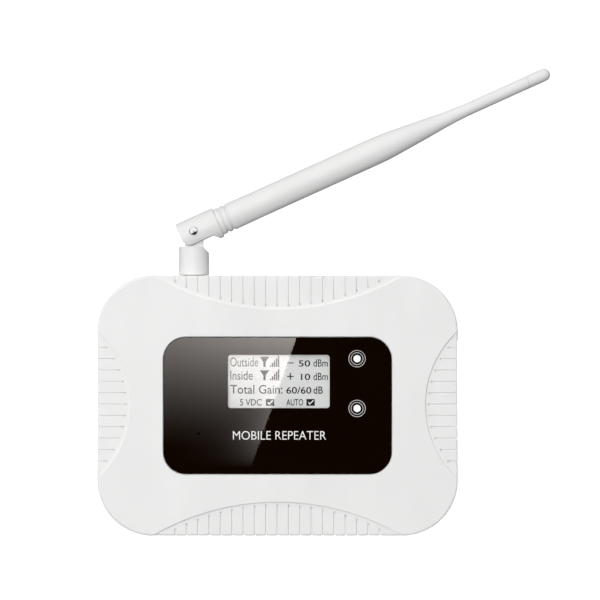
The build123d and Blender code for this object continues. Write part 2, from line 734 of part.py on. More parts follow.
def save_port(prefix, x, wall_top, above):
    save(f"{prefix}_port", port_body(x, wall_top, above))
    save(f"{prefix}_port_insulator", port_insulator(x, wall_top, above))
    save(f"{prefix}_port_contact", port_contact(x, wall_top, above))
    washer, nut = port_hardware(x, wall_top)
    save(f"{prefix}_port_washer", washer)
    save(f"{prefix}_port_nut", nut)


# ---- power inlet ---------------------------------------------------------------------------------
def along_x(radius, x0, x1):
    return Pos((x0 + x1) / 2, 0, INLET_Z) * Rot(0, 90, 0) * Cylinder(radius, x1 - x0)


def power_inlet():
    half = INLET_SIDE / 2
    wall_x = WIDTH / 2 - SIDE_WALL
    body = block(INLET_BACK_X, wall_x - 0.1, -half, half, INLET_Z - half, INLET_Z + half)
    body += along_x(INLET_NOSE_R, wall_x - 1, INLET_FACE_X)
    floor_x = INLET_FACE_X - INLET_BORE_DEPTH
    body -= along_x(INLET_BORE_R, floor_x, INLET_FACE_X + 1)
    body -= along_x(INLET_ROOT_R, floor_x - INLET_PIN_ROOT, floor_x + 1)
    slot_top = INLET_Z - INLET_BORE_R + 0.6
    return body - block(floor_x, wall_x - 2, -1.1, 1.1, slot_top - 1.4, slot_top)


def inlet_pin():
    floor_x = INLET_FACE_X - INLET_BORE_DEPTH
    pin = along_x(INLET_PIN_R, floor_x, INLET_FACE_X - INLET_PIN_SETBACK)
    pin = chamfer(pin.faces().sort_by(Axis.X)[-1].edges(), 0.3)
    return pin + along_x(INLET_ROOT_R, floor_x - INLET_PIN_ROOT, floor_x + 0.5)


def inlet_spring():
    floor_x = INLET_FACE_X - INLET_BORE_DEPTH
    top = INLET_Z - INLET_BORE_R - 0.1
    end_x = WIDTH / 2 - SIDE_WALL - 2.2
    return block(floor_x, end_x, -SPRING_W / 2, SPRING_W / 2, top - SPRING_T, top)


# ---- antenna base --------------------------------------------------------------------------------
def antenna_base():
    x, top = ANTENNA_X, HEIGHT
    body = drum(x, BASE_R, top + BASE_GAP, top + SHOULDER)
    body = chamfer(body.faces().sort_by(Axis.Z)[0].edges(), BASE_EDGE)
    right = Polyline(
        (CHAMFER_X, SHOULDER + 0.1),
        (CHAMFER_X, SHOULDER - 0.2),
        (BASE_R + 0.1, CHAMFER_LOW - 0.1),
        (BASE_R + 1, CHAMFER_LOW),
        (BASE_R + 1, SHOULDER + 0.1),
        close=True,
    )
    body -= Pos(x, 0, top) * slab(make_face(right), -BASE_R - 1, BASE_R + 1)
    tongue = at(PIVOT[0], PIVOT[2], Circle(TONGUE_R))
    tongue += at(PIVOT[0], PIVOT[2] - 4, Rectangle(2 * TONGUE_R, 8))
    body += slab(tongue, -TONGUE_HALF_T, TONGUE_HALF_T)
    body -= drum(x, BASE_BORE_R, top, top + BASE_BORE_TOP)
    body -= drum(x, PLUG_TAIL_R + PIN_SNUG_GAP, top + BASE_BORE_TOP - 1, top + PLUG_TOP)
    body -= drum(x, CABLE_R + CABLE_GAP, top + PLUG_TOP - 0.5, PIVOT[2])
    half = CABLE_SLOT
    body -= block(PIVOT[0] - half, x + 9, -half, half, PIVOT[2] - half, PIVOT[2] + 9)
    return body - post(PIVOT[0], PIVOT[2], PIN_R + PIN_RUN_GAP, -9, 9)


def on_case(radius, low, high):
    """A round post on the antenna's axis, with its heights over the case's top."""
    return drum(ANTENNA_X, radius, HEIGHT + low, HEIGHT + high)


def coupling_nut():
    nut = hexagon(ANTENNA_X, PORT_HEX, HEIGHT + NUT_LOW, HEIGHT + NUT_HIGH)
    nut -= on_case(THREAD_R + LIP_GAP, NUT_LOW - 1, NUT_LIP_LOW)
    return nut - on_case(NUT_LIP_R, NUT_LIP_LOW - 1, NUT_HIGH + 1)


def plug_body():
    body = on_case(PLUG_R, PLUG_LOW, BASE_BORE_TOP + 0.3)
    body += on_case(PLUG_RING_R, *PLUG_RING_ZS)
    body += on_case(PLUG_TAIL_R, BASE_BORE_TOP, PLUG_TOP)
    return body - on_case(PLUG_BORE_R, PLUG_LOW - 1, PLUG_TOP + 1)


def plug_insulator():
    body = on_case(PLUG_BORE_R, PLUG_LOW, PLUG_TOP)
    body -= on_case(CABLE_R, PLUG_PIN_TOP, PLUG_TOP + 1)
    return body - on_case(PLUG_PIN_R, PLUG_LOW - 1, PLUG_PIN_TOP + 0.5)


def plug_pin():
    return on_case(PLUG_PIN_R, PLUG_PIN_LOW, PLUG_PIN_TOP)


def base_cable():
    return on_case(CABLE_R, PLUG_PIN_TOP, PIVOT_H - CABLE_END)


# ---- antenna whip: drawn upright with the pivot at the origin, then tilted -----------------------
def tilted(shape):
    return Pos(*PIVOT) * Rot(0, WHIP_TILT, 0) * shape


def knuckle_profile():
    """The knuckle from the front: square corner on one side, flat and round corner on the other."""
    left = WHIP_DX - KNUCKLE_R
    right = WHIP_DX + KNUCKLE_R
    turn = KNUCKLE_FLAT_X - KNUCKLE_CORNER_R
    rise = KNUCKLE_END + KNUCKLE_CORNER_R
    mid = KNUCKLE_CORNER_R * math.sqrt(0.5)
    bottom = Line((left, KNUCKLE_END), (turn, KNUCKLE_END))
    corner = ThreePointArc((turn, KNUCKLE_END), (turn + mid, rise - mid), (KNUCKLE_FLAT_X, rise))
    rest = Polyline(
        (KNUCKLE_FLAT_X, rise),
        (KNUCKLE_FLAT_X, KNUCKLE_FLAT_TOP),
        (right, COLLAR_LOW),
        (right, COLLAR_TOP),
        (left, COLLAR_TOP),
        (left, KNUCKLE_END),
    )
    return make_face(bottom + corner + rest)


def whip_knuckle():
    body = Pos(WHIP_DX, 0, (KNUCKLE_END + COLLAR_TOP) / 2) * Cylinder(KNUCKLE_R, COLLAR_TOP - KNUCKLE_END)
    body = fillet(body.edges().filter_by(GeomType.CIRCLE), COLLAR_EDGE)
    body &= slab(knuckle_profile(), -KNUCKLE_R - 1, KNUCKLE_R + 1)
    body += Pos(WHIP_DX, 0, (COLLAR_TOP + SPIGOT_TOP) / 2 - 1) * Cylinder(
        SPIGOT_R, SPIGOT_TOP - COLLAR_TOP + 2
    )
    half = TONGUE_HALF_T + EAR_GAP
    slot = Circle(SLOT_R)
    slot += Pos(10 - SLOT_R, -6) * Rectangle(20, 12)
    slot += Pos(10, SLOT_R - 6) * Rectangle(20, 12)
    body -= slab(slot, -half, half)
    body -= slab(Circle(PIN_R + PIN_SNUG_GAP), -9, 9)
    for front, back in ((-9, -PIN_SEAT_Y), (PIN_SEAT_Y, 9)):
        body -= slab(Circle(PIN_HEAD_R + 0.05), front, back)
    body -= Pos(0, 0, 12) * Cylinder(CABLE_R + CABLE_GAP, 20)
    return tilted(body)


def hinge_pin(side):
    """One short pin, which leaves the middle of the hinge clear for the cable."""
    shaft = slab(Circle(PIN_R), -PIN_SEAT_Y, -PIN_INNER_Y)
    head = slab(Circle(PIN_HEAD_R), -PIN_SEAT_Y - PIN_HEAD_H, -PIN_SEAT_Y)
    dome_h = PIN_HEAD_H - PIN_RIM_H
    dome_r = (PIN_HEAD_R**2 + dome_h**2) / (2 * dome_h)
    head &= Pos(0, dome_r - PIN_SEAT_Y - PIN_HEAD_H, 0) * Sphere(dome_r)
    return Rot(0, 0, 0 if side < 0 else 180) * (shaft + head)


def sheath_outline():
    """The sheath's outer line: two ring grooves, a long barrel, a taper and a thin rod; then its bore."""
    groove_r = RING_GROOVE_R
    bands = ((COLLAR_TOP, 5.95), (13.2, 6.05), (14.0, groove_r), (14.8, 6.1), (15.8, 6.1),
             (16.6, groove_r), (17.4, 6.1), (22.0, 6.1), (30.0, 6.0), (BARREL_TOP, 6.0))
    taper = ((BARREL_TOP, 6.0), (92.0, 5.88), (101.0, 5.2), (114.0, 4.05), (123.0, 3.2), (131.0, 2.82),
             (ROD_LOW, ROD_R))
    straight = Polyline(*[(r, 0, h) for h, r in bands])
    slope = Spline(*[(r, 0, h) for h, r in taper], tangents=((0, 0, 1), (0, 0, 1)))
    inside = Polyline(
        (ROD_R, 0, ROD_LOW),
        (ROD_R, 0, CAP_LOW),
        (ROD_BORE_R, 0, CAP_LOW),
        (ROD_BORE_R, 0, ROD_BORE_LOW),
        (SHEATH_BORE_R, 0, BARREL_BORE_TOP),
        (SHEATH_BORE_R, 0, COLLAR_TOP),
        (bands[0][1], 0, COLLAR_TOP),
    )
    return straight + slope + inside


def whip_sheath():
    body = revolve(make_face(sheath_outline()), Axis.Z)
    return tilted(Pos(WHIP_DX, 0, 0) * body)


def whip_cap():
    """The round end cap, with a spigot in the sheath's bore."""
    cap = Cylinder(CAP_R, WHIP_TIP - CAP_R - CAP_LOW, align=(Align.CENTER, Align.CENTER, Align.MIN))
    cap = chamfer(cap.faces().sort_by(Axis.Z)[0].edges(), CAP_SEAM)
    cap += Pos(0, 0, WHIP_TIP - CAP_R - CAP_LOW) * Sphere(CAP_R)
    cap += Pos(0, 0, -2.0) * Cylinder(ROD_BORE_R - 0.02, 4.5)
    return tilted(Pos(WHIP_DX, 0, CAP_LOW) * cap)


def whip_cable():
    return tilted(Pos(0, 0, (CABLE_END + CABLE_TOP) / 2) * Cylinder(CABLE_R, CABLE_TOP - CABLE_END))


def radiator_sleeve():
    """The lower half of the dipole: a brass tube folded back over the cable."""
    tube = Cylinder(SLEEVE_R, SLEEVE_H) - Cylinder(SLEEVE_BORE_R, SLEEVE_H + 1)
    cap = Pos(0, 0, SLEEVE_H / 2 - 0.5) * (Cylinder(SLEEVE_BORE_R, 1) - Cylinder(CABLE_R, 2))
    return tilted(Pos(0, 0, SLEEVE_MID) * (tube + cap))


def radiator_coil():
    """The phasing coil between the dipole and the upper rod."""
    turns = Helix(pitch=COIL_PITCH, height=COIL_H, radius=COIL_R)
    wire = sweep(Plane(turns @ 0, z_dir=turns % 0) * Circle(COIL_WIRE_R), turns)
    return tilted(Pos(0, 0, COIL_LOW) * wire)


def coil_support():
    """The plastic rod that the coil is wound on and that carries the upper rod."""
    return tilted(Pos(0, 0, CABLE_TOP + COIL_CORE_H / 2) * Cylinder(COIL_CORE_R, COIL_CORE_H))


def radiator_rod():
    rod = Cylinder(UPPER_ROD_R, UPPER_ROD_H)
    return tilted(Pos(UPPER_ROD_X, 0, CABLE_TOP + COIL_CORE_H + UPPER_ROD_H / 2) * rod)


# ---- everything ----------------------------------------------------------------------------------
def main():
    os.makedirs("parts", exist_ok=True)
    save("front_cover", front_cover())
    save("rear_cover", rear_cover())
    save("case_screws", case_screws())
    save("rubber_feet", rubber_feet())
    save("rating_label", rating_label())
    save("panel_lens", panel_lens())
    save("panel_mask", panel_mask())
    save("indicator_rings", indicator_rings())
    save("panel_adhesive", panel_adhesive())
    save("light_guides", light_guides())
    save("display_gasket", display_gasket())
    save("display_glass", display_box(GASKET_BACK_Y, GLASS_BACK_Y))
    save("display_backlight", display_box(GLASS_BACK_Y, LIGHTBOX_BACK_Y))
    save("display_frame", display_frame())
    save("display_flex", display_flex())
    save("flex_connector", flex_connector())
    save("main_board", main_board())
    save("board_screws", board_screws())
    save("uplink_shield", shield_can(SHIELD_XS[0]))
    save("downlink_shield", shield_can(SHIELD_XS[1]))
    chips = [on_board(x + dx, SHIELD_Z, 5, 5, 0.9) for x in SHIELD_XS for dx in (-12, 12)]
    save("amplifier_chips", group(chips))
    save("thermal_pads", thermal_pads())
    save("heat_spreader", heat_spreader())
    ports = ((ANTENNA_X, 86), (OUTDOOR_X, 82))
    save("duplexers", group(on_board(x, z, 16, 8, 4.0) for x, z in ports))
    save("controller_chip", on_board(0, 74, 10, 10, 1.4))
    save("power_inductor", on_board(SIDE_PARTS_X, 44, 8, 8, 4.0))
    save("bulk_capacitors", bulk_capacitors())
    save("indicator_lamps", group(on_board(LIGHT_X, z, 1.6, 0.8, 0.8, -1) for z in LIGHT_ZS))
    save("buzzer", buzzer())
    save_port("indoor", ANTENNA_X, HEIGHT, PORT_ABOVE)
    save_port("outdoor", OUTDOOR_X, WELL_FLOOR_Z, HEIGHT - 0.5 - WELL_FLOOR_Z)
    save("power_inlet", power_inlet())
    save("inlet_pin", inlet_pin())
    save("inlet_spring", inlet_spring())
    save("coupling_nut", coupling_nut())
    save("antenna_base", antenna_base())
    save("plug_body", plug_body())
    save("plug_insulator", plug_insulator())
    save("plug_pin", plug_pin())
    save("base_cable", base_cable())
    save("whip_knuckle", whip_knuckle())
    save("hinge_pins", group(tilted(hinge_pin(side)) for side in (-1, 1)))
    save("whip_sheath", whip_sheath())
    save("whip_cap", whip_cap())
    save("whip_cable", whip_cable())
    save("radiator_sleeve", radiator_sleeve())
    save("coil_support", coil_support())
    save("radiator_coil", radiator_coil())
    save("radiator_rod", radiator_rod())


main()
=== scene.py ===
import json
import math

import bmesh
import bpy
from mathutils import Matrix, Vector


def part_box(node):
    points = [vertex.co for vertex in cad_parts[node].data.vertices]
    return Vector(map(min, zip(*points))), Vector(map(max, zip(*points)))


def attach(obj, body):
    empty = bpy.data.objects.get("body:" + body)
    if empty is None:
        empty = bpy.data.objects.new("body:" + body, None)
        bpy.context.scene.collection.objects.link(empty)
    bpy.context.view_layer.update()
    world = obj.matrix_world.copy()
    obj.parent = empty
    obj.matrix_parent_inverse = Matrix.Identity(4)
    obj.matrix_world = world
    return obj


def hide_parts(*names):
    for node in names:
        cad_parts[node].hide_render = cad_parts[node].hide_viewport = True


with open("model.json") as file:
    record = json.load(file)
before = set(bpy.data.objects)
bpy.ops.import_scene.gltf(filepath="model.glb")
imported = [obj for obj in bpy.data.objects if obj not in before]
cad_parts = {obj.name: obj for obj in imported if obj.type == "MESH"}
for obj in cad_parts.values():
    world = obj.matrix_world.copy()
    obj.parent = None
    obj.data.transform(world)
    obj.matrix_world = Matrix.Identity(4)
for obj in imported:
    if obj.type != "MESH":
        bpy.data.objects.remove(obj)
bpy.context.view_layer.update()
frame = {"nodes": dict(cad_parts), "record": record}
NODES = frame["nodes"]
MM = 0.001


# ---- places worked out from the frame ------------------------------------------------------------
CASE_LOW, CASE_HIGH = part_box("front_cover")
CASE_MID_X = (CASE_LOW.x + CASE_HIGH.x) / 2
CASE_MID_Z = (CASE_LOW.z + CASE_HIGH.z) / 2
LENS_LOW, LENS_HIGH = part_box("panel_lens")
LENS_BACK_Y = LENS_HIGH.y
GLASS_LOW, GLASS_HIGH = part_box("display_glass")
INK_Y = GLASS_LOW.y

# ---- the display window, as printed on the mask (mm from the panel's middle) ---------------------
WINDOW_W = 44.6
WINDOW_H = 23.3
WINDOW_LEFT = CASE_MID_X + (0.5 - WINDOW_W / 2) * MM
WINDOW_TOP = CASE_MID_Z + (10.6 + WINDOW_H / 2) * MM


# ---- material helpers ----------------------------------------------------------------------------
class Shader:
    """The nodes of a material, or of the world, under construction."""

    def __init__(self, name, kind="Material"):
        library = bpy.data.materials if kind == "Material" else bpy.data.worlds
        self.material = library.new(name)
        self.material.use_nodes = True
        self.tree = self.material.node_tree
        self.tree.nodes.clear()
        self.output = self.node("ShaderNodeOutput" + kind)
        self.coords = self.node("ShaderNodeTexCoord")
        self.place = self.coords.outputs["Object"]

    def node(self, kind, **settings):
        made = self.tree.nodes.new(kind)
        for key, value in settings.items():
            setattr(made, key, value)
        return made

    def link(self, source, target):
        self.tree.links.new(source, target)

    def feed(self, target, value):
        """Sets a socket to a value, or links it to another socket."""
        if isinstance(value, bpy.types.NodeSocket):
            self.link(value, target)
        else:
            target.default_value = value

    def noise(self, size, detail=3.0, roughness=0.5, stretch=(1, 1, 1), seed=0.0):
        """Noise whose features are about size metres across."""
        spread = self.node("ShaderNodeMapping")
        spread.inputs["Scale"].default_value = stretch
        spread.inputs["Location"].default_value = (seed, seed * 0.7, seed * 1.3)
        self.link(self.place, spread.inputs["Vector"])
        made = self.node("ShaderNodeTexNoise")
        made.inputs["Scale"].default_value = 1.0 / size
        made.inputs["Detail"].default_value = detail
        made.inputs["Roughness"].default_value = roughness
        self.link(spread.outputs["Vector"], made.inputs["Vector"])
        return made.outputs["Fac"]

    def span(self, value, low, high, from_low=0.3, from_high=0.7):
        """Maps a 0 to 1 value onto low to high."""
        made = self.node("ShaderNodeMapRange")
        made.inputs["From Min"].default_value = from_low
        made.inputs["From Max"].default_value = from_high
        made.inputs["To Min"].default_value = low
        made.inputs["To Max"].default_value = high
        self.link(value, made.inputs["Value"])
        return made.outputs["Result"]

    def blend(self, share, first, second):
        """Mixes two colours."""
        made = self.node("ShaderNodeMix", data_type="RGBA")
        self.feed(made.inputs["Factor"], share)
        self.feed(made.inputs["A"], first)
        self.feed(made.inputs["B"], second)
        return made.outputs["Result"]

    def sums(self, operation, first, second):
        """One step of arithmetic on two values."""
        made = self.node("ShaderNodeMath", operation=operation)
        self.feed(made.inputs[0], first)
        self.feed(made.inputs[1], second)
        return made.outputs[0]

    def bump(self, height, depth, normal=None):
        """A normal for a relief of the given depth in metres."""
        made = self.node("ShaderNodeBump")
        made.inputs["Strength"].default_value = 1.0
        made.inputs["Distance"].default_value = depth
        self.link(height, made.inputs["Height"])
        if normal is not None:
            self.link(normal, made.inputs["Normal"])
        return made.outputs["Normal"]

    def rounded(self, radius):
        """A normal that softens the piece's sharp edges."""
        made = self.node("ShaderNodeBevel", samples=6)
        made.inputs["Radius"].default_value = radius
        return made.outputs["Normal"]

    def surface(self, colour, roughness, normal=None, **others):
        """The main shader, joined to the output."""
        made = self.node("ShaderNodeBsdfPrincipled")
        self.feed(made.inputs["Base Color"], colour)
        self.feed(made.inputs["Roughness"], roughness)
        if normal is not None:
            self.link(normal, made.inputs["Normal"])
        for key, value in others.items():
            self.feed(made.inputs[key.replace("_", " ")], value)
        self.link(made.outputs["BSDF"], self.output.inputs["Surface"])
        return made


def grey(level):
    return (level, level, level, 1.0)


def moulded(name, colour, roughness=0.42, grain=0.35 * MM, depth=0.012 * MM, edge=0.25 * MM, tone=0.02):
    """Moulded plastic: a fine spark-eroded grain, faint flow marks and soft edges."""
    s = Shader(name)
    flow = s.noise(22 * MM, detail=2.0, stretch=(1, 1, 0.4), seed=0.3)
    fine = s.noise(grain, detail=4.0, roughness=0.6)
    darker = tuple(c * (1 - 2 * tone) for c in colour) + (1.0,)
    lighter = tuple(min(1.0, c * (1 + tone)) for c in colour) + (1.0,)
    base = s.blend(s.span(flow, 0.0, 1.0), darker, lighter)
    base = s.blend(s.span(fine, 0.0, 0.25), base, darker)
    rough = s.sums("ADD", s.span(fine, -0.05, 0.06), roughness)
    normal = s.bump(fine, depth, normal=s.rounded(edge))
    s.surface(base, rough, normal, IOR=1.5)
    return s.material


def brushed(name, colour, roughness=0.25, stretch=(1, 1, 20), metallic=1.0, edge=0.1 * MM):
    """Turned, drawn or plated metal with fine lines along one direction."""
    s = Shader(name)
    lines = s.noise(0.5 * MM, detail=5.0, roughness=0.7, stretch=stretch)
    stain = s.noise(4 * MM, detail=3.0, seed=0.8)
    dull = tuple(c * 0.75 for c in colour) + (1.0,)
    base = s.blend(s.span(stain, 0.0, 0.6), colour + (1.0,), dull)
    rough = s.sums("ADD", s.span(lines, -0.08, 0.12), roughness)
    normal = s.bump(lines, 0.006 * MM, normal=s.rounded(edge))
    s.surface(base, rough, normal, Metallic=metallic)
    return s.material


def rubber(name, level, grain=0.25 * MM):
    """Matt rubber or foam with a dusty bloom."""
    s = Shader(name)
    fine = s.noise(grain, detail=5.0, roughness=0.7)
    dust = s.noise(3 * MM, detail=4.0, seed=0.5)
    base = s.blend(s.span(dust, 0.0, 0.35), grey(level), grey(level * 1.8 + 0.02))
    s.surface(base, s.span(fine, 0.75, 0.95), s.bump(fine, 0.03 * MM, normal=s.rounded(0.15 * MM)))
    return s.material


def clear_lens():
    """Polished, hard-coated lens with faint wiping marks. Lamps shine through it."""
    s = Shader("clear_acrylic")
    smear = s.noise(9 * MM, detail=5.0, roughness=0.65, stretch=(1, 1, 2.5), seed=0.2)
    scratch = s.noise(1.1 * MM, detail=2.0, stretch=(6, 1, 0.5), seed=0.9)
    made = s.surface(grey(1.0), s.span(smear, 0.0, 0.014), s.bump(scratch, 0.0001 * MM), IOR=1.75)
    made.inputs["Transmission Weight"].default_value = 1.0
    path = s.node("ShaderNodeLightPath")
    through = s.node("ShaderNodeBsdfTransparent")
    mix = s.node("ShaderNodeMixShader")
    s.link(path.outputs["Is Shadow Ray"], mix.inputs["Fac"])
    s.link(made.outputs["BSDF"], mix.inputs[1])
    s.link(through.outputs["BSDF"], mix.inputs[2])
    s.link(mix.outputs["Shader"], s.output.inputs["Surface"])
    return s.material


def printed(name, colour, roughness=0.35, gloss=0.5):
    """Screen-printed ink with a slightly uneven film. Behind a lens it has no gloss of its own."""
    s = Shader(name)
    film = s.noise(0.6 * MM, detail=3.0)
    second = tuple(c * 0.82 for c in colour) + (1.0,)
    base = s.blend(s.span(film, 0.0, 0.5), colour + (1.0,), second)
    rough = s.span(film, roughness - 0.05, roughness + 0.1)
    s.surface(base, rough, s.bump(film, 0.004 * MM), Specular_IOR_Level=gloss)
    return s.material


def lcd_face():
    """The display's lit face: a pale grey film with its dot grid and a fine sparkle."""
    s = Shader("lcd_face")
    pitch = WINDOW_W / 128 * MM
    split = s.node("ShaderNodeSeparateXYZ")
    s.link(s.place, split.inputs["Vector"])
    lines = []
    for axis in ("X", "Z"):
        cell = s.sums("FRACT", s.sums("DIVIDE", split.outputs[axis], pitch), 0.0)
        lines.append(s.sums("LESS_THAN", cell, 0.14))
    grid = s.sums("MAXIMUM", lines[0], lines[1])
    sparkle = s.noise(0.5 * MM, detail=4.0, roughness=0.7)
    uneven = s.noise(18 * MM, detail=1.0, seed=0.4)
    base = s.blend(s.span(sparkle, 0.0, 1.0), (0.36, 0.37, 0.37, 1), (0.5, 0.5, 0.49, 1))
    base = s.blend(s.span(uneven, 0.0, 0.25), base, (0.54, 0.54, 0.54, 1))
    base = s.blend(s.sums("MULTIPLY", grid, 0.12), base, (0.61, 0.62, 0.63, 1))
    made = s.surface(base, 0.3)
    s.link(base, made.inputs["Emission Color"])
    made.inputs["Emission Strength"].default_value = 0.12
    return s.material


def lcd_ink():
    """A switched-on dot: nearly black, slightly uneven."""
    s = Shader("lcd_ink")
    film = s.noise(0.35 * MM, detail=2.0)
    base = s.blend(s.span(film, 0.0, 1.0), (0.004, 0.004, 0.005, 1), (0.012, 0.012, 0.014, 1))
    s.surface(base, 0.4, Specular_IOR_Level=0.1)
    return s.material


def milky(name, colour, glow):
    """A diffusing light guide. Its glow is emission; above nought it is painted light, as no lamp lights
    it.
    """
    s = Shader(name)
    cloud = s.noise(0.8 * MM, detail=2.0)
    base = s.blend(s.span(cloud, 0.0, 0.3), colour + (1.0,), tuple(c * 0.9 for c in colour) + (1.0,))
    made = s.surface(base, s.span(cloud, 0.3, 0.45))
    s.link(base, made.inputs["Emission Color"])
    made.inputs["Emission Strength"].default_value = glow
    return s.material


def circuit_board():
    """Solder mask over copper: tracks under green lacquer."""
    s = Shader("circuit_board")
    tracks = s.node("ShaderNodeTexVoronoi", feature="DISTANCE_TO_EDGE")
    tracks.inputs["Scale"].default_value = 160
    s.link(s.place, tracks.inputs["Vector"])
    edge = s.span(tracks.outputs["Distance"], 1.0, 0.0, 0.05, 0.12)
    base = s.blend(edge, (0.01, 0.1, 0.04, 1), (0.03, 0.2, 0.08, 1))
    s.surface(base, 0.3, s.bump(edge, 0.03 * MM))
    return s.material


# ---- one material for each slot ------------------------------------------------------------------
WHITE = (0.83, 0.83, 0.825)
# Painted shade: the aerial's plastics get the case's white made a little darker, standing in for the
# weaker light that falls on the aerial.
SHADED_AERIAL_WHITE = (0.793, 0.793, 0.788)
BRASS = (0.83, 0.62, 0.27)
MATERIALS = {
    "case_white": moulded("case_white_abs", WHITE),
    "antenna_white": moulded("antenna_white_abs", SHADED_AERIAL_WHITE, 0.36, grain=0.25 * MM, depth=0.006 * MM),
    "sheath_white": moulded("sheath_white", SHADED_AERIAL_WHITE, 0.38, grain=0.3 * MM, depth=0.006 * MM),
    "screw_steel": brushed("screw_steel", (0.55, 0.55, 0.57), 0.35, stretch=(3, 1, 3)),
    "rivet_chrome": brushed("rivet_chrome", (0.93, 0.93, 0.94), 0.09, stretch=(1, 1, 1), edge=0.05 * MM),
    "foot_rubber": rubber("foot_rubber", 0.06),
    "label_silver": brushed("label_silver", (0.62, 0.62, 0.63), 0.45, stretch=(1, 1, 30), metallic=0.6),
    "lens_clear": clear_lens(),
    "mask_black": printed("mask_black", (0.0080, 0.0025, 0.0001), 0.6, gloss=0.0),
    "print_grey": printed("print_grey", (0.82, 0.82, 0.82), gloss=0.0),
    "tape_black": rubber("tape_black", 0.02),
    # The light guides glow faintly though no lamp lights them: painted light that keeps their dots
    # white.
    "light_guide": milky("light_guide", (0.92, 0.92, 0.92), 0.1),
    "display_glass": lcd_face(),
    "display_white": milky("display_backlight", (0.85, 0.85, 0.83), 0.0),
    "display_frame": moulded("display_frame", (0.05, 0.05, 0.05), roughness=0.5),
    "flex_film": printed("flex_film", (0.5, 0.22, 0.05), 0.3),
    "connector_plastic": moulded("connector_plastic", (0.025, 0.025, 0.025), roughness=0.38),
    "board_green": circuit_board(),
    "shield_tin": brushed("shield_tin", (0.7, 0.7, 0.7), 0.3, stretch=(1, 1, 12)),
    "chip_black": moulded("chip_black", (0.03, 0.03, 0.03), roughness=0.5),
    "ceramic": moulded("ceramic", (0.7, 0.67, 0.6), roughness=0.3),
    "pad_grey": rubber("pad_grey", 0.3),
    "spreader_aluminium": brushed("spreader_aluminium", (0.75, 0.75, 0.76), 0.35, stretch=(20, 1, 1)),
    "can_aluminium": brushed("can_aluminium", (0.78, 0.78, 0.79), 0.3, stretch=(1, 12, 1)),
    "lamp_white": milky("lamp_white", (0.9, 0.88, 0.75), 0.0),
    "gold_brass": brushed("gold_brass", BRASS, 0.24, stretch=(1, 1, 14)),
    "contact_gold": brushed("contact_gold", BRASS, 0.2, stretch=(1, 1, 6)),
    "ptfe_white": moulded("ptfe_white", (0.85, 0.85, 0.85), roughness=0.5),
    "inlet_metal": brushed("inlet_metal", (0.7, 0.7, 0.71), 0.22, stretch=(14, 1, 1)),
    "cable_jacket": rubber("cable_jacket", 0.03),
    "radiator_brass": brushed("radiator_brass", BRASS, 0.3, stretch=(6, 1, 6)),
    "coil_former": moulded("coil_former", (0.75, 0.75, 0.7)),
}


def dress_frame():
    """Gives every CAD node the finish of its record slot."""
    for part in frame["record"]["subparts"]:
        node = NODES[part["node"]]
        node.data.materials.clear()
        node.data.materials.append(MATERIALS[part["material_slot"]])


# ---- mesh helpers --------------------------------------------------------------------------------
def piece(name, mesh, body, slot, material=None):
    """Links a mesh as a piece that rides on a body."""
    made = bpy.data.objects.new(name, mesh)
    bpy.context.scene.collection.objects.link(made)
    mesh.materials.clear()
    mesh.materials.append(material or MATERIALS[slot])
    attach(made, body)
    return made


def plate(bm, corners, y_front, y_back):
    """Adds a flat prism whose outline is given in the front view, counter-clockwise."""
    front = [bm.verts.new((x, y_front, z)) for x, z in corners]
    back = [bm.verts.new((x, y_back, z)) for x, z in corners]
    bm.faces.new(front)
    bm.faces.new(back[::-1])
    count = len(corners)
    for i in range(count):
        j = (i + 1) % count
        bm.faces.new((front[i], back[i], back[j], front[j]))


def lettering(words, left, right, low, high, y_front, depth, weight):
    """Solid letters fitted between four limits of the front view."""
    curve = bpy.data.curves.new("letters", "FONT")
    curve.body = words
    curve.extrude = 0.5
    curve.offset = weight
    curve.resolution_u = 4
    holder = bpy.data.objects.new("letters", curve)
    bpy.context.scene.collection.objects.link(holder)
    bpy.context.view_layer.update()
    depsgraph = bpy.context.evaluated_depsgraph_get()
    mesh = bpy.data.meshes.new_from_object(holder.evaluated_get(depsgraph))
    bpy.data.objects.remove(holder)
    xs = [v.co.x for v in mesh.vertices]
    ys = [v.co.y for v in mesh.vertices]
    wide = (right - left) / (max(xs) - min(xs))
    tall = (high - low) / (max(ys) - min(ys))
    for v in mesh.vertices:
        x = left + (v.co.x - min(xs)) * wide
        z = low + (v.co.y - min(ys)) * tall
        v.co = Vector((x, y_front + (0.5 - v.co.z) * depth, z))
    return mesh


def finished(name, bm):
    """Turns a mesh under construction into a mesh, with its faces outwards."""
    bmesh.ops.recalc_face_normals(bm, faces=bm.faces)
    made = bpy.data.meshes.new(name)
    bm.to_mesh(made)
    bm.free()
    return made


def joined(name, meshes):
    """One mesh from several."""
    bm = bmesh.new()
    for mesh in meshes:
        bm.from_mesh(mesh)
    return finished(name, bm)


# ---- the display's readout -----------------------------------------------------------------------
INK_DEPTH = 0.03 * MM
BOX_LEFTS = (16.6, 34.4)  # the two ticked boxes


def on_window(x, down):
    """A place on the window, in mm from its upper left corner."""
    return WINDOW_LEFT + x * MM, WINDOW_TOP - down * MM


def readout_line(words, x0, x1, top, bottom, weight):
    """One text of the display, fitted between four limits in mm."""
    left, high = on_window(x0, top)
    right, low = on_window(x1, bottom)
    return lettering(words, left, right, low, high, INK_Y - INK_DEPTH, INK_DEPTH * 0.9, weight)


def window_plate(bm, outline, lift=1.0):
    """Adds a thin plate on the display, from an outline in mm."""
    corners = [on_window(x, down) for x, down in outline]
    plate(bm, corners, INK_Y - INK_DEPTH * lift, INK_Y - INK_DEPTH * 0.1)


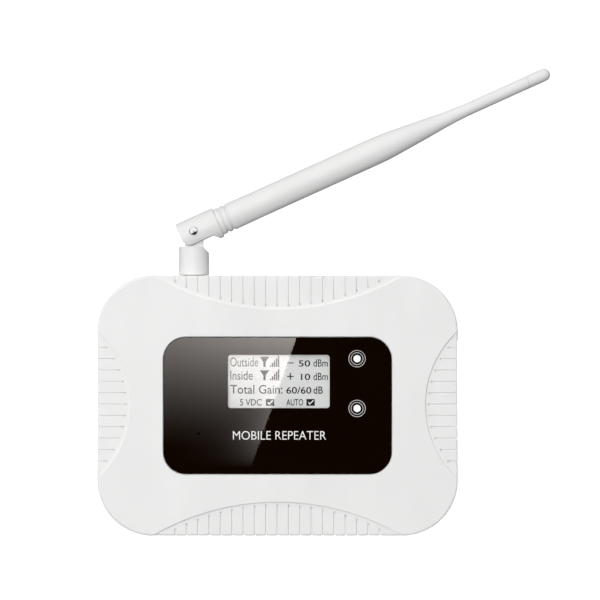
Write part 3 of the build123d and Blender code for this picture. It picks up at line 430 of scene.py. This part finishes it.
def readout_icons():
    """Aerial and signal-bar signs of both rows, the signs and the two ticked boxes."""
    bm = bmesh.new()
    for row in (0.0, 5.9):
        window_plate(bm, [(13.9, 0.9 + row), (15.5, 3.2 + row), (16.5, 3.2 + row), (18.1, 0.9 + row)])
        window_plate(bm, [(15.5, 2.9 + row), (15.5, 5.3 + row), (16.5, 5.3 + row), (16.5, 2.9 + row)])
        for step in range(5):
            left = 18.4 + step * 0.87
            right = left + 0.62
            top = 4.6 - step * 1.05 + row
            low = 5.3 + row
            window_plate(bm, [(left, top), (left, low), (right, low), (right, top)])
    strokes = ((25.9, 3.35, 28.8, 3.8), (25.9, 9.25, 28.8, 9.7), (27.1, 7.9, 27.6, 11.0))
    for left, top, right, low in strokes:
        window_plate(bm, [(left, top), (left, low), (right, low), (right, top)])
    for left in BOX_LEFTS:
        window_plate(bm, [(left, 19.4), (left, 22.4), (left + 3.7, 22.4), (left + 3.7, 19.4)])
    return finished("readout_icons", bm)


def readout_ticks():
    """The pale ticks in the two boxes."""
    bm = bmesh.new()
    for left in BOX_LEFTS:
        tick = [(0.7, 20.9), (1.45, 21.95), (3.2, 20.1), (2.95, 19.85), (1.45, 21.35), (0.95, 20.7)]
        window_plate(bm, [(left + x, down) for x, down in tick], 1.6)
    return finished("readout_ticks", bm)


READOUT = (
    ("Outside", 1.0, 13.2, 1.1, 5.2, 0.002),
    ("Inside", 1.0, 10.8, 7.0, 11.0, 0.002),
    ("50", 31.0, 36.1, 2.4, 5.2, 0.012),
    ("10", 32.0, 36.1, 8.3, 11.1, 0.012),
    ("dBm", 37.5, 43.8, 2.0, 5.2, 0.006),
    ("dBm", 37.5, 43.8, 7.9, 11.1, 0.006),
    ("Total Gain:", 1.0, 23.9, 13.2, 17.1, 0.004),
    ("60/60", 25.6, 36.6, 14.1, 17.1, 0.01),
    ("dB", 37.5, 41.6, 13.9, 17.1, 0.008),
    ("5 VDC", 5.2, 14.8, 19.4, 22.3, 0.01),
    ("AUTO", 25.6, 33.0, 19.4, 22.3, 0.01),
)


def make_readout():
    ink = lcd_ink()
    text = joined("readout_text", [readout_line(*line) for line in READOUT])
    piece("readout_text", text, "case", "display_glass", ink)
    piece("readout_icons", readout_icons(), "case", "display_glass", ink)
    ticks = printed("lcd_tick", (0.75, 0.76, 0.76))
    piece("readout_ticks", readout_ticks(), "case", "display_glass", ticks)


def make_label():
    """Generic wording printed behind the panel's lens."""
    half = 20.4 * MM
    middle = CASE_MID_X + 0.8 * MM
    low = CASE_MID_Z - 14.9 * MM
    high = low + 3.8 * MM
    front = LENS_BACK_Y - 0.04 * MM
    left, right = middle - half, middle + half
    mesh = lettering("MOBILE REPEATER", left, right, low, high, front, 0.03 * MM, -0.008)
    white = printed("wording_white", (0.93, 0.93, 0.93), gloss=0.0)
    piece("panel_wording", mesh, "case", "print_grey", white)


# ---- the outdoor port's real thread --------------------------------------------------------------
def make_port_thread():
    """The visible barrel of the outdoor port, with its 36 turns per inch thread."""
    low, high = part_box("outdoor_port")
    axis_x = (low.x + high.x) / 2
    crest = 3.175 * MM
    root = 2.78 * MM
    bore = 2.3 * MM
    pitch = 25.4 / 36 * MM
    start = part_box("outdoor_port_nut")[0].z
    around, per_turn = 48, 8
    rings = int((high.z - start) / pitch * per_turn)
    bm = bmesh.new()
    levels = []
    for ring in range(rings + 1):
        z = start + (high.z - start) * ring / rings
        fade = min(1.0, (high.z - z) / (0.6 * MM))
        level = []
        for step in range(around):
            angle = 2 * math.pi * step / around
            phase = ((z - start) / pitch - step / around) % 1.0
            height = max(0.0, 1.0 - abs(phase - 0.5) * 2.3) ** 0.8
            radius = root + (crest - root) * min(1.0, 1.25 * height) * fade
            level.append(bm.verts.new((axis_x + radius * math.cos(angle), radius * math.sin(angle), z)))
        levels.append(level)
    for z in (high.z, start):
        level = []
        for step in range(around):
            angle = 2 * math.pi * step / around
            level.append(bm.verts.new((axis_x + bore * math.cos(angle), bore * math.sin(angle), z)))
        levels.append(level)
    levels.append(levels[0])
    for lower, upper in zip(levels, levels[1:]):
        for step in range(around):
            after = (step + 1) % around
            bm.faces.new((lower[step], lower[after], upper[after], upper[step]))
    mesh = finished("outdoor_port_barrel", bm)
    barrel = piece("outdoor_port_barrel", mesh, "case", "gold_brass")
    for face in mesh.polygons:
        face.use_smooth = True
    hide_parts("outdoor_port")


# ---- floor, light and camera ---------------------------------------------------------------------
FRAME_WIDTH = 262.6 * MM
VIEW_X = CASE_MID_X + 9.8 * MM
VIEW_Z = CASE_MID_Z + 46.3 * MM
CAMERA_Y = -1.2


def make_camera():
    """A level camera in front of the part."""
    data = bpy.data.cameras.new("camera")
    data.sensor_width = 36.0
    data.lens = 36.0 * (CASE_LOW.y - CAMERA_Y) / FRAME_WIDTH
    data.clip_start = 0.01
    data.clip_end = 20
    made = bpy.data.objects.new("camera", data)
    made.location = (VIEW_X, CAMERA_Y, VIEW_Z)
    made.rotation_euler = (math.radians(90), 0, 0)
    bpy.context.scene.collection.objects.link(made)
    bpy.context.scene.camera = made


# the soft light's strength at the horizon, and how it grows upwards and to the left
SKY_MIDDLE = 0.41
SKY_RISE = 0.3
SKY_LEFT = 0.12

LAMP_AIM = (CASE_MID_X, 0, CASE_MID_Z + 20 * MM)
# name, place, point aimed at, width, height and watts; the two glows sit close to the case's edges,
# so that their light falls off before it reaches the antenna
LAMPS = (
    ("key", (-0.35, -1.55, 0.33), LAMP_AIM, 0.7, 0.7, 16.6),
    ("back", (0.35, 1.5, 0.12), LAMP_AIM, 0.7, 0.7, 13),
    ("table_glow", (0, 0.008, -0.02), (0, 0.008, 0), 0.2, 0.036, 0.05),
    ("right_glow", (0.1, 0.008, 0.05), (0, 0.008, 0.05), 0.036, 0.1, 0.013),
)


def make_floor():
    """A white floor that curves up into a backdrop."""
    bm = bmesh.new()
    half, front, back, bend, height = 6.0, -6.0, 1.2, 1.0, 6.0
    profile = [(front, 0.0), (back, 0.0)]
    for step in range(1, 13):
        angle = math.radians(90 * step / 12)
        profile.append((back + bend * math.sin(angle), bend - bend * math.cos(angle)))
    profile.append((back + bend, height))
    rows = [[bm.verts.new((x, y, z)) for x in (-half, half)] for y, z in profile]
    for near, far in zip(rows, rows[1:]):
        bm.faces.new((near[0], near[1], far[1], far[0]))
    mesh = bpy.data.meshes.new("floor")
    bm.to_mesh(mesh)
    bm.free()
    s = Shader("studio_floor")
    tone = s.noise(0.4, detail=2.0)
    base = s.blend(s.span(tone, 0.0, 1.0), grey(0.9), grey(0.93))
    made = s.surface(base, 0.9)
    made.inputs["Emission Color"].default_value = grey(1.0)
    made.inputs["Emission Strength"].default_value = 0.55
    mesh.materials.append(s.material)
    floor = bpy.data.objects.new("floor", mesh)
    bpy.context.scene.collection.objects.link(floor)
    floor.visible_diffuse = False
    floor.visible_glossy = False
    floor.visible_transmission = False


def make_world():
    """A white background, and soft light that is stronger from above and from the left."""
    s = Shader("studio", "World")
    bpy.context.scene.world = s.material
    way = s.coords.outputs["Generated"]
    split = s.node("ShaderNodeSeparateXYZ")
    s.link(way, split.inputs["Vector"])
    above = s.sums("MULTIPLY", split.outputs["Z"], SKY_RISE)
    left = s.sums("MULTIPLY", split.outputs["X"], -SKY_LEFT)
    glow = s.sums("ADD", s.sums("ADD", above, left), SKY_MIDDLE)
    # Mirrors see a white upper left, a black lower right and a small dark patch round the camera.
    high = s.sums("SUBTRACT", split.outputs["Z"], s.sums("MULTIPLY", split.outputs["X"], 0.5))
    halves = s.span(high, 0.02, 1.0, -0.3, -0.2)
    ahead = s.sums("MULTIPLY", split.outputs["Y"], -1.0)
    patch = s.span(ahead, 1.0, 0.002, 0.975, 0.99)
    front = s.sums("MULTIPLY", patch, s.span(ahead, 0.3, 1.0, -0.2, 0.2))
    mirrored = s.sums("MULTIPLY", halves, front)
    path = s.node("ShaderNodeLightPath")
    strength = s.node("ShaderNodeMix", data_type="FLOAT")
    s.link(path.outputs["Is Diffuse Ray"], strength.inputs["Factor"])
    s.link(mirrored, strength.inputs["A"])
    s.link(glow, strength.inputs["B"])
    light = s.node("ShaderNodeBackground")
    s.link(strength.outputs["Result"], light.inputs["Strength"])
    seen = s.node("ShaderNodeBackground")
    seen.inputs["Strength"].default_value = 1.1
    for shade in (light, seen):
        shade.inputs["Color"].default_value = grey(1.0)
    mix = s.node("ShaderNodeMixShader")
    s.link(path.outputs["Is Camera Ray"], mix.inputs["Fac"])
    s.link(light.outputs["Background"], mix.inputs[1])
    s.link(seen.outputs["Background"], mix.inputs[2])
    s.link(mix.outputs["Shader"], s.output.inputs["Surface"])


def soft_box(name, location, target, width, height, watts):
    """A flat lamp aimed at a point, which mirrors don't show."""
    data = bpy.data.lights.new(name, "AREA")
    data.shape = "RECTANGLE"
    data.size = width
    data.size_y = height
    data.energy = watts
    made = bpy.data.objects.new(name, data)
    made.location = location
    made.rotation_euler = (Vector(target) - Vector(location)).to_track_quat("-Z", "Y").to_euler()
    made.visible_camera = False
    made.visible_glossy = False
    bpy.context.scene.collection.objects.link(made)


def make_lights():
    """A key lamp in front, one behind, and low glows from the white table and from the right."""
    for lamp in LAMPS:
        soft_box(*lamp)


# The card's place, and its look as mirrored in the panel, in mm from the panel's middle.
GLARE_Y = -1.6
GLARE_EDGE_TOP = (8.3, 30.0)
GLARE_EDGE_LOW = (-12.3, -28.6)
GLARE_SHEEN = 2.1  # the sheen's strength at the panel's top
GLARE_RIM = 1.15  # the bright rim's strength along the slanting edge
GLARE_RIM_FALL = 0.882  # the bright rim's share left after each mm away from the edge


def make_glare_card():
    """A lit card behind the camera, whose reflection is the sheen on the panel's left part."""
    reach = (CASE_LOW.y - GLARE_Y) / (CASE_LOW.y - CAMERA_Y)

    def mirrored(x, z):
        """Where a ray from the camera lands on the card after the panel turns it back."""
        panel_x = CASE_MID_X + x * MM
        panel_z = CASE_MID_Z + z * MM
        return (panel_x + (panel_x - VIEW_X) * reach, GLARE_Y, panel_z + (panel_z - VIEW_Z) * reach)

    slope = (GLARE_EDGE_TOP[0] - GLARE_EDGE_LOW[0]) / (GLARE_EDGE_TOP[1] - GLARE_EDGE_LOW[1])
    top, low, left = 45.0, -45.0, -70.0
    edge_top = GLARE_EDGE_TOP[0] + slope * (top - GLARE_EDGE_TOP[1])
    edge_low = GLARE_EDGE_LOW[0] + slope * (low - GLARE_EDGE_LOW[1])
    corners = [mirrored(*c) for c in ((left, low), (edge_low, low), (edge_top, top), (left, top))]
    mesh = bpy.data.meshes.new("glare_card")
    mesh.from_pydata(corners, [], [(0, 3, 2, 1)])
    s = Shader("glare_card")
    split = s.node("ShaderNodeSeparateXYZ")
    s.link(s.place, split.inputs["Vector"])
    origin, unit = mirrored(0, 0), mirrored(1, 1)
    across = s.span(split.outputs["X"], 0.0, 1.0, origin[0], unit[0])
    up = s.span(split.outputs["Z"], 0.0, 1.0, origin[2], unit[2])
    for made in (across, up):
        made.node.clamp = False
    rise = s.span(up, 0.0, 1.0, -20.0, 27.4)
    rise.node.clamp = False
    falling = s.sums("MULTIPLY", s.sums("POWER", s.sums("MAXIMUM", rise, 0.0), 2.0), GLARE_SHEEN)
    sheen = s.sums("MULTIPLY", falling, s.span(across, 1.0, 1.75, -45.0, 5.0))
    edge_x = s.sums("ADD", s.sums("MULTIPLY", up, slope), GLARE_EDGE_TOP[0] - slope * GLARE_EDGE_TOP[1])
    inward = s.sums("MAXIMUM", s.sums("SUBTRACT", edge_x, across), 0.0)
    rim = s.sums("MULTIPLY", s.sums("POWER", GLARE_RIM_FALL, inward), GLARE_RIM)
    rim = s.sums("MULTIPLY", rim, s.span(up, 0.0, 1.0, 20.0, 2.0))
    rim = s.sums("MULTIPLY", rim, s.span(up, 0.0, 1.0, -27.0, -14.0))
    glow = s.node("ShaderNodeEmission")
    glow.inputs["Color"].default_value = (1.0, 0.93, 0.88, 1)
    s.link(s.sums("ADD", sheen, rim), glow.inputs["Strength"])
    s.link(glow.outputs["Emission"], s.output.inputs["Surface"])
    mesh.materials.append(s.material)
    card = bpy.data.objects.new("glare_card", mesh)
    bpy.context.scene.collection.objects.link(card)
    card.visible_camera = False
    card.visible_diffuse = False
    card.visible_shadow = False


# ---- everything ----------------------------------------------------------------------------------
bpy.context.scene.view_settings.view_transform = "Standard"
dress_frame()
make_readout()
make_label()
make_port_thread()
make_camera()
make_floor()
make_world()
make_lights()
make_glare_card()
